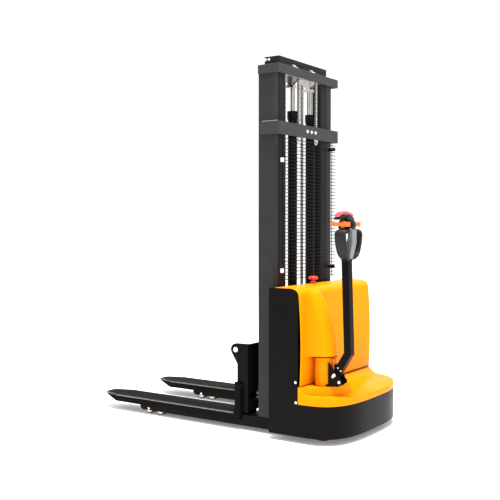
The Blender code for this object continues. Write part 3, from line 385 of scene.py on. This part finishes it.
# ---------------------------------------------------------------- carried-over shapes
PANEL_FACE = 0.4221  # the side panels' faces, drawn in a little so that their screws stay in the envelope
EDGE_WIDTH = 0.0012  # of the rounding on a piece's sharp edges, where EDGE doesn't name another
EDGE = {
    "outer_rail_left": 0.0035, "outer_rail_right": 0.0035, "inner_mast_frame": 0.0022,
    "top_collar": 0.0035, "mid_collar": 0.0035, "tiller_arm": 0.0055, "tiller_bracket": 0.0014,
    "fork_left": 0.0030, "fork_right": 0.0030, "leg_left": 0.0025, "leg_right": 0.0025,
    "carriage_frame": 0.0022, "side_panel_left": 0.0016, "side_panel_right": 0.0016,
    "bumper_skirt": 0.0030, "drive_cover": 0.0045, "thumb_switch": 0.0028,
    "estop_button": 0.0015, "battery": 0.003, "hydraulic_tank": 0.004,
}
FINISH = {
    # The inner mast frame takes the darker inner_mast finish, which is painted shade.
    "inner_mast_frame": "inner_mast", "top_collar": "collar", "mid_collar": "collar",
    "chain_pulley_left": "pulley", "chain_pulley_right": "pulley", "pulley_shaft": "pulley",
    "fork_left": "fork", "fork_right": "fork", "lift_cylinder_left": "ram", "lift_cylinder_right": "ram",
    "tie_bar": "zinc", "drive_hub": "pulley",
}
MADE_HERE = {
    "hood", "mesh_guard", "head_shell", "belly_button", "chain_rear_left", "chain_rear_right",
    "chain_front_left", "chain_front_right", "load_roller_left_rear", "load_roller_left_front",
    "load_roller_right_rear", "load_roller_right_front",
}


def finished_copy(node):
    """A piece with the node's own form, its facets merged and its sharp edges rounded."""
    work = bmesh.new()
    work.from_mesh(NODES[node].data)
    bmesh.ops.remove_doubles(work, verts=work.verts, dist=2e-6)
    bmesh.ops.dissolve_limit(
        work, angle_limit=math.radians(0.4), verts=work.verts, edges=work.edges,
        use_dissolve_boundaries=False,
    )
    if node.startswith("side_panel"):
        for vert in work.verts:
            if abs(vert.co.y) > PANEL_FACE:
                vert.co.y = math.copysign(PANEL_FACE, vert.co.y)
    slot = SLOT_OF[node]
    piece = finish(node + "_finish", work, BODY_OF[node], slot, FINISH.get(node), stands_for=(node,))
    modifier = piece.modifiers.new("edges", "BEVEL")
    modifier.width, modifier.segments = EDGE.get(node, EDGE_WIDTH), 3
    modifier.limit_method, modifier.angle_limit = "ANGLE", math.radians(38)
    modifier.use_clamp_overlap = True
    modifier.harden_normals = True


# ---------------------------------------------------------------- hood
HOOD_REAR_X, HOOD_RAKE, HOOD_SWELL = -0.6240, 0.007, 0.038  # the rear face's top, and how it leans and bows
HOOD_EDGE, HOOD_CORNER, HOOD_SHEET = 0.040, 0.006, 0.003  # roundings on top and at the ends, and thickness
BULGE_Z = (0.458, 0.823)
BULGE_X, BULGE_R = (-0.6953, -0.5900), (0.072, 0.056)  # at its foot and at its top
BULGE_BOW, FLANK_SLOPE = 2.4, 6.0  # it stays upright before it leans forward, and its flanks are steep
BULGE_LIP, BULGE_CROWN, BULGE_BLEND = 0.003, 0.036, 0.016  # roundings of its foot, top and flanks


def hood_rear(down):
    """The rear face's X, from its top (0) to its foot (1)."""
    return HOOD_REAR_X - HOOD_RAKE * down - HOOD_SWELL * down * (1 - down)


def quarter_round(share):
    """How far a quarter circle has risen, for a share of its run from 0 to 1."""
    return math.sqrt(max(0.0, 1 - (1 - share) ** 2))


def bulge_out(x, z, y):
    """How far the bulge stands out behind a point of the hood's rear face."""
    rise = (z - BULGE_Z[0]) / (BULGE_Z[1] - BULGE_Z[0])
    if not 0.0 < rise < 1.02 or x >= HOOD_REAR_X + HOOD_EDGE:
        return 0.0
    centre = BULGE_X[0] + (BULGE_X[1] - BULGE_X[0]) * rise**BULGE_BOW
    radius = BULGE_R[0] + (BULGE_R[1] - BULGE_R[0]) * rise
    off = abs(y - STEER_Y)
    if off < radius:
        bulge = centre - math.sqrt(radius ** 2 - off ** 2)
    else:
        bulge = centre + (off - radius) * FLANK_SLOPE
    lip = quarter_round(min(1.0, (z - BULGE_Z[0]) / BULGE_LIP))
    crown = quarter_round(min(1.0, max(0.0, (BULGE_Z[1] - 0.001 - z) / BULGE_CROWN)))
    return smooth_max(0.0, x - bulge, BULGE_BLEND) * lip * crown


def add_hood():
    """A thin shell over a grid of points: up the rear face, round its top edge and forward."""
    low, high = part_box("hood")
    foot, top, front, half = low[2], high[2], high[0], high[1]
    knee = top - HOOD_EDGE
    heights = [foot + (knee - foot) * n / 46 for n in range(46)]
    heights += [BULGE_Z[0] + step for step in (-0.0016, 0.0, 0.0004, 0.0012, BULGE_LIP)]
    rows = [(hood_rear((knee - z) / (knee - foot)), z) for z in sorted(heights)]
    turns = [math.radians(90 * n / 12) for n in range(13)]
    crest = HOOD_REAR_X + HOOD_EDGE
    rows += [(crest - HOOD_EDGE * math.cos(t), knee + HOOD_EDGE * math.sin(t)) for t in turns]
    rows += [(crest + (front - crest) * n / 5, top) for n in range(1, 6)]
    columns = [-half + 2 * half * n / 110 for n in range(111)]
    columns += [STEER_Y + 0.09 * n / 30 for n in range(-30, 31)]
    columns += [s * (half - d) for s in (1, -1) for d in (0.0004, 0.0014, 0.003, 0.005)]
    columns = sorted({round(y, 5) for y in columns})
    work = bmesh.new()

    def point(x, z, y):
        inset = max(0.0, abs(y) - (half - HOOD_CORNER))
        soften = HOOD_CORNER - math.sqrt(max(HOOD_CORNER ** 2 - inset ** 2, 0.0))
        x += soften
        return work.verts.new((x - bulge_out(x, z, y), y, z - 0.3 * soften if z > knee else z))

    grid = [[point(x, z, y) for y in columns] for x, z in rows]
    for a, b in zip(grid, grid[1:]):
        for i in range(len(columns) - 1):
            work.faces.new((a[i], a[i + 1], b[i + 1], b[i]))
    piece = finish("hood_shell", work, "chassis", "yellow_cover", sharp=50, stands_for=("hood",))
    shell = piece.modifiers.new("shell", "SOLIDIFY")
    shell.thickness, shell.offset = HOOD_SHEET, -1.0


# ---------------------------------------------------------------- guard and chains
WIRE_PITCH, WIRE_R, UPRIGHT_R = 0.020, 0.0020, 0.0022
CLIP_Y = 0.300


def add_guard():
    """The wire screen: level wires, three uprights, and the clips that hold it to the mast."""
    low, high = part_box("mesh_guard")
    x = low[0] + 0.002
    work = bmesh.new()
    for i in range(round((high[2] - low[2]) / WIRE_PITCH)):
        z = low[2] + WIRE_PITCH * (i + 0.5)
        add_tube(work, [(x, y, z) for y in (-0.310, -0.309, 0.303, 0.304)], WIRE_R)
    for y in (-0.272, 0.0, CLIP_Y):
        add_tube(work, [(x + 0.0035, y, low[2]), (x + 0.0035, y, high[2])], UPRIGHT_R)
    for z in (low[2] + 0.060, high[2] - 0.030):
        corner = (high[0], -CLIP_Y + 0.0065, z + 0.010)
        add_box(work, (x - 0.003, -CLIP_Y - 0.0065, z - 0.010), corner, 0.002)
    finish("guard_wires", work, "chassis", "chassis_paint", stands_for=("mesh_guard",))
    clips = bmesh.new()
    screw = [(0.0055, 0.0), (0.0055, 0.003), (0.0, 0.0035)]
    for z in (low[2] + 0.060, high[2] - 0.130):
        corner = (x + 0.012, CLIP_Y + 0.008, z + 0.012)
        add_box(clips, (x - 0.004, CLIP_Y - 0.008, z - 0.012), corner, 0.002)
        add_lathe(clips, screw, (x - 0.003, -CLIP_Y, z + 0.004), (-1, 0, 0), 14)
    finish("guard_clips", clips, "chassis", "steel", "zinc")


def add_link(work, a, b, ys, thick, radius):
    """Flat link plates side by side between two joints in an XZ plane."""
    a, b = Vector(a), Vector(b)
    way = (b - a).normalized()
    start = math.degrees(math.atan2(way.y, way.x))
    outline = [*arc(b, radius, start - 90, start + 90, 4), *arc(a, radius, start + 90, start + 270, 4)]
    for y in ys:
        add_prism(work, outline, "XZ", y - thick / 2, y + thick / 2)


LINK_THICK, LINK_R, LINK_SPREADS = 0.0024, 0.0048, (0.0058, 0.0086)  # inner and outer link plates
ROLLER = [(0.0050, -0.0044), (0.0056, -0.0034), (0.0056, 0.0034), (0.0050, 0.0044)]
PIN = [(0.0022, -0.0100), (0.0022, 0.0100)]


def add_strand(name, joints, y, stands_for):
    """A chain along its joints, whose two ends move with two bodies."""
    plates, rollers = bmesh.new(), bmesh.new()
    for i, (a, b) in enumerate(zip(joints, joints[1:])):
        spread = LINK_SPREADS[i % 2]
        add_link(plates, a, b, (y - spread, y + spread), LINK_THICK, LINK_R)
    for x, z in joints:
        add_lathe(rollers, ROLLER, (x, y, z), (0, 1, 0), 8)
        add_lathe(rollers, PIN, (x, y, z), (0, 1, 0), 6)
    piece = finish(name, plates, None, "steel", "chain", stands_for=stands_for)
    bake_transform(piece)
    piece = finish(name + "_rollers", rollers, None, "steel", "zinc")
    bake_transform(piece)


CHAIN_WRAP_R = 0.048  # of the chain's middle line on its pulley
FRONT_LINKS, WRAP_LINKS, REAR_LINKS = 122, 12, 26
ANCHOR_ROD_Z, ANCHOR_NUTS_Z, NUT_HEIGHT = (1.632, 1.664), (1.638, 1.652), 0.010


def add_chains():
    """The strands in front of the pulleys and behind them, and the anchor rods on the mid collar."""
    pulley_low, pulley_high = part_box("chain_pulley_left")
    x, z = (pulley_low[0] + pulley_high[0]) / 2, (pulley_low[2] + pulley_high[2]) / 2
    foot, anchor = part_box("chain_front_left")[0][2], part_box("chain_rear_left")[0][2]
    front_x, rear_x = x + CHAIN_WRAP_R, x - CHAIN_WRAP_R
    hardware = bmesh.new()
    for side, sign in SIDES:
        y = sign * CHAIN_Y
        joints = [(front_x, foot + (z - foot) * n / FRONT_LINKS) for n in range(FRONT_LINKS)]
        joints += arc((x, z), CHAIN_WRAP_R, 0, 180, WRAP_LINKS)
        add_strand(f"lift_chain_front_{side}", joints, y,
                   (f"chain_front_{side}",))
        joints = [(rear_x, anchor + (z - anchor) * n / REAR_LINKS) for n in range(REAR_LINKS + 1)]
        add_strand(f"lift_chain_rear_{side}", joints, y,
                   (f"chain_rear_{side}",))
        add_lathe(hardware, [(0.006, height) for height in ANCHOR_ROD_Z], (rear_x, y, 0), (0, 0, 1), 12)
        for nut in ANCHOR_NUTS_Z:
            sides = [(0.0125, nut), (0.0125, nut + NUT_HEIGHT)]
            add_lathe(hardware, sides, (rear_x, y, 0), (0, 0, 1), 6)
    finish("chain_anchors", hardware, "chassis", "steel", "zinc")


# ---------------------------------------------------------------- rollers
def add_load_rollers():
    """A tyre with rounded shoulders on a steel core, for each of the four."""
    for side, _ in SIDES:
        for place in ("rear", "front"):
            node = f"load_roller_{side}_{place}"
            low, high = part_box(node)
            centre = [(a + b) / 2 for a, b in zip(low, high)]
            radius, half = (high[2] - low[2]) / 2, (high[1] - low[1]) / 2
            tyre = bmesh.new()
            profile = [(0.0300, half - 0.001), (radius - 0.003, half), (radius - 0.0008, half - 0.0010),
                       (radius, half - 0.004), (radius, -half + 0.004), (radius - 0.0008, -half + 0.0010),
                       (radius - 0.003, -half), (0.0300, -half + 0.001)]
            add_lathe(tyre, profile, centre, (0, 1, 0), 40)
            finish(node + "_tyre", tyre, node, "polyurethane", stands_for=(node,))
            core = bmesh.new()
            for face in (1, -1):
                ring = [(0.0298, half - 0.0005), (0.0230, half - 0.001), (0.0225, half - 0.004),
                        (0.0160, half - 0.004), (0.0155, half - 0.001), (0.0, half - 0.001)]
                add_lathe(core, ring, centre, (0, face, 0), 28)
            finish(node + "_core", core, node, "steel", "zinc")


# ---------------------------------------------------------------- forks
FORK_TOP_Z, FORK_TAPER = 0.097, 0.120  # height of the top face, and length of the tapered tip
BEAD_R, BEAD_IN = 0.0047, 0.0042  # the light bead, a painted highlight along the edge, and how far its middle lies inside the edge


def add_fork_edges():
    """Light grey beads along each fork's top side edges: a painted highlight where the rounded edges catch
    the light.
    """
    for side, _ in SIDES:
        low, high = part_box(f"fork_{side}")
        work = bmesh.new()
        y_mid, half = (low[1] + high[1]) / 2, (high[1] - low[1]) / 2
        taper, z = high[0] - FORK_TAPER, FORK_TOP_Z - BEAD_IN
        for edge in (1, -1):
            y = y_mid + edge * (half - BEAD_IN)
            points = [(low[0] + 0.046, y, z), (taper - 0.01, y, z), (taper, y - edge * 0.0006, z),
                      (high[0] - 0.024, y_mid + edge * 0.0490, z)]
            add_tube(work, points, BEAD_R, 12)
        finish(f"fork_{side}_edges", work, "carriage", "chassis_paint", "worn_and_highlight")


# ---------------------------------------------------------------- control head
LOOP_X = -0.8393
# Each hand loop from the hub's foot round the grip to the drum: how far out, how high, and the half
# thickness and half depth there.
LOOP = (
    (0.014, 0.986, 0.0110, 0.022), (0.034, 0.989, 0.0110, 0.026), (0.055, 0.998, 0.0105, 0.030),
    (0.071, 1.018, 0.0100, 0.032), (0.083, 1.048, 0.0095, 0.033), (0.091, 1.080, 0.0095, 0.033),
    (0.0955, 1.108, 0.0095, 0.033), (0.0945, 1.124, 0.0100, 0.032), (0.084, 1.132, 0.0090, 0.028),
    (0.058, 1.133, 0.0085, 0.024), (0.015, 1.131, 0.0085, 0.020),
)
# Outlines in X and Z of the hub and of the lighter trim on its back.
HUB = ((-0.8045, 0.976), (-0.8045, 1.006), (-0.8300, 1.045), (-0.8460, 1.095), (-0.8460, 1.135),
       (-0.8620, 1.149), (-0.8735, 1.136), (-0.8735, 1.070), (-0.8540, 0.976))
TRIM = ((-0.8562, 0.984), (-0.8746, 1.070), (-0.8746, 1.134), (-0.8700, 1.134), (-0.8700, 1.070),
        (-0.8500, 0.984))
DRUM = ((0.0, 0.024), (0.036, 0.024), (0.0415, 0.0215), (0.044, 0.016), (0.044, -0.016),
        (0.0415, -0.0215), (0.036, -0.024), (0.0, -0.024))
DRUM_AT = (-0.830, STEER_Y, 1.160)
ARCH_CENTRE = (STEER_Y, 1.036)  # Y and Z of the bridge's and the belly button's curve
BRIDGE_R, BELLY_R, BELLY_X = 0.1805, (0.185, 0.199), (-0.826, -0.799)
SWITCH_AT, LOBE_R, LOBE_NARROW = (-0.8223, 1.166), 0.020, 0.84


def add_head():
    """A hub that leans back with a drum on it, a swept loop on each side and a bridge over them."""
    loops = bmesh.new()
    for _, sign in SIDES:
        line = [(LOOP_X, STEER_Y + sign * across, z) for across, z, _, _ in LOOP]
        add_tube(loops, line, sides=20, squeeze=[sizes for _, _, *sizes in LOOP])
    piece = finish("hand_loops", loops, "tiller", "black_plastic", "grip", sharp=60)
    soft = piece.modifiers.new("soft", "SUBSURF")
    soft.levels = soft.render_levels = 1

    shell = bmesh.new()
    add_prism(shell, HUB, "XZ", STEER_Y - 0.0265, STEER_Y + 0.0265, 0.005, 3)
    finish("head_hub", shell, "tiller", "grey_plastic", stands_for=("head_shell",))

    trim = bmesh.new()
    add_prism(trim, TRIM, "XZ", STEER_Y - 0.0235, STEER_Y + 0.0235, 0.0008)
    finish("head_trim", trim, "tiller", "grey_plastic", "trim")

    dark = bmesh.new()
    add_lathe(dark, DRUM, DRUM_AT, (0, 1, 0), 44)
    bridge = [*arc(ARCH_CENTRE, BRIDGE_R, 64, 116, 12), (STEER_Y - 0.078, 1.190), (STEER_Y + 0.078, 1.190)]
    add_prism(dark, bridge, "YZ", -0.834, -0.790, 0.004, 3)
    socket = [(0.0295, 0.0), (0.0295, 0.010), (0.0270, 0.014)]  # which takes the tiller arm's end
    add_lathe(dark, socket, (-0.829, STEER_Y, 0.970), (0, 0, 1), 32)
    finish("head_drum", dark, "tiller", "black_plastic")

    belly = bmesh.new()
    band = [*arc(ARCH_CENTRE, BELLY_R[1], 64.5, 115.5, 16), *arc(ARCH_CENTRE, BELLY_R[0], 115.5, 64.5, 16)]
    add_prism(belly, band, "YZ", *BELLY_X, 0.003, 3)
    add_lathe(belly, [(0.010, 1.189), (0.010, 1.224)], (-0.812, STEER_Y, 0.0), (0, 0, 1), 20)
    finish("belly_pad", belly, "belly_button", "red_plastic", "belly", stands_for=("belly_button",))

    lobes = bmesh.new()
    circle = arc((0.0, 0.0), LOBE_R, 0, 345, 23)
    lobe = [(SWITCH_AT[0] + LOBE_NARROW * u, SWITCH_AT[1] + v) for u, v in circle]
    for side in (1, -1):
        near, far = sorted((STEER_Y + side * 0.0255, STEER_Y + side * 0.0365))
        add_prism(lobes, lobe, "XZ", near, far, 0.003, 3)
    finish("thumb_lobes", lobes, "thumb_switch", "orange_plastic")


# ---------------------------------------------------------------- fasteners and small parts
# Flat round heads: (radius, height) points.
PANEL_SCREW = [(0.0072, 0.0), (0.0072, 0.0003), (0.0060, 0.0008), (0.0030, 0.0009), (0.0, 0.0009)]
AXLE_CAP = [(0.0075, 0.0), (0.0075, 0.0012), (0.0060, 0.0020), (0.0, 0.0020)]
PIN_CAP = [(0.0150, 0.0), (0.0150, 0.0030), (0.0130, 0.0042), (0.0090, 0.0042), (0.0080, 0.0026),
           (0.0, 0.0026)]
LEG_SIDES = ((0.3363, 1), (0.1963, -1))  # |Y| of each leg's outer and inner side, and the way it faces
BRACKET_HALF, ARM_HALF = 0.0365, 0.0215  # of the tiller bracket's and the tiller arm's width
# Places in X and Z, but for the collar's three bolts, which are spread in Y.
PANEL_SCREWS = ((-0.6035, 0.325), (-0.6060, 0.2175))
AXLE_X, AXLE_Z = 0.492, 0.036
COLLAR_BOLTS_Y, COLLAR_FACE_X, COLLAR_BOLTS_Z = (0.032, -0.0145, -0.061), -0.4493, 1.698
MAST_BOLTS = ((-0.3390, 2.083), (-0.3170, 2.083))
CARRIAGE_PIN = (-0.1503, 0.451)
ARM_BOLTS = ((-0.7900, 0.402), (-0.8060, 0.388))
# The bracket's bolts: X, Z, the side they are on and their size.
BRACKET_BOLTS = ((-0.7746, 0.3637, 1, 0.0075), (-0.8045, 0.329, 1, 0.0065), (-0.7746, 0.3637, -1, 0.0075))


def add_fasteners():
    """Screws, bolts and caps, in one piece for each body that they are on."""
    chassis = bmesh.new()
    for _, sign in SIDES:
        for x, z in PANEL_SCREWS:
            add_lathe(chassis, PANEL_SCREW, (x, sign * PANEL_FACE, z), (0, sign, 0), 24)
        for face, out in LEG_SIDES:
            add_lathe(chassis, AXLE_CAP, (AXLE_X, sign * face, AXLE_Z), (0, sign * out, 0), 20)
    for y in COLLAR_BOLTS_Y:
        add_bolt(chassis, (COLLAR_FACE_X, y, COLLAR_BOLTS_Z), (-1, 0, 0), 0.0072)
    finish("chassis_bolts", chassis, "chassis", "steel", "zinc")

    mast = bmesh.new()
    for _, sign in SIDES:
        for x, z in MAST_BOLTS:
            add_bolt(mast, (x, sign * 0.270, z), (0, sign, 0), 0.0062)
    finish("inner_mast_bolts", mast, "inner_mast", "steel", "zinc")

    carriage = bmesh.new()
    x, z = CARRIAGE_PIN
    for _, sign in SIDES:
        add_lathe(carriage, PIN_CAP, (x, sign * 0.325, z), (0, sign, 0), 30)
    finish("carriage_pins", carriage, "carriage", "steel", "zinc")

    drive = bmesh.new()
    for x, z, sign, radius in BRACKET_BOLTS:
        add_bolt(drive, (x, STEER_Y + sign * BRACKET_HALF, z), (0, sign, 0), radius)
    finish("bracket_bolts", drive, "drive_unit", "steel", "zinc")

    arm = bmesh.new()
    for x, z in ARM_BOLTS:
        for _, sign in SIDES:
            add_bolt(arm, (x, STEER_Y + sign * ARM_HALF, z), (0, sign, 0), 0.0030)
    finish("arm_bolts", arm, "tiller", "steel", "zinc")


def add_seam_shade():
    """Black strips between the hood and the deck, and a black ring under the bulge: painted shade in the
    seams there.
    """
    low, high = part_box("hood")
    half = high[1] - 0.001
    work = bmesh.new()
    add_box(work, (-0.6322, -half, low[2] - 0.0006), (-0.6280, half, low[2] + 0.0035))
    ring = [(0.0530, 0.0), (0.0735, 0.0), (0.0735, 0.0022), (0.0530, 0.0022)]
    add_ring(work, ring, (BULGE_X[0], STEER_Y, BULGE_Z[0] - 0.0024), (0, 0, 1), 40)
    finish("hood_seam_shade", work, "chassis", "black_plastic")


RIPPLES = 34  # along a weld bead


def add_welds():
    """Weld beads on the mid collar's ends, which swell and thin from ripple to ripple."""
    work = bmesh.new()
    swells = [(-1) ** n for n in range(RIPPLES + 1)]
    sizes = [(0.0036 + 0.0005 * swell, 0.0034 + 0.0004 * swell) for swell in swells]
    for _, sign in SIDES:
        points = [(-0.437 + 0.100 * n / RIPPLES, sign * 0.3362, 1.7322) for n in range(RIPPLES + 1)]
        add_tube(work, points, sides=10, squeeze=sizes)
    finish("collar_welds", work, "chassis", "mast_paint", "worn_and_highlight")


def add_top_plates():
    """Plates under the inner mast's rear bar, with a slot between them for each pulley."""
    low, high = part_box("inner_mast_frame")
    x, z = (low[0] + 0.001, low[0] + 0.008), (high[2] - 0.054, high[2] - 0.0255)
    work = bmesh.new()
    for start, end in ((-0.205, -0.128), (-0.074, 0.074), (0.128, 0.205)):
        add_box(work, (x[0], start, z[0]), (x[1], end, z[1]), 0.001)
    # The plates take the darker inner_mast finish, which is painted shade.
    finish("top_plates", work, "inner_mast", "mast_paint", "inner_mast")


def main():
    add_camera()
    add_stage()
    for node in NODES:
        if node not in MADE_HERE:
            finished_copy(node)
    add_hood()
    add_guard()
    add_chains()
    add_load_rollers()
    add_fork_edges()
    add_head()
    add_fasteners()
    add_seam_shade()
    add_welds()
    add_top_plates()


MATERIALS = make_materials()
main()
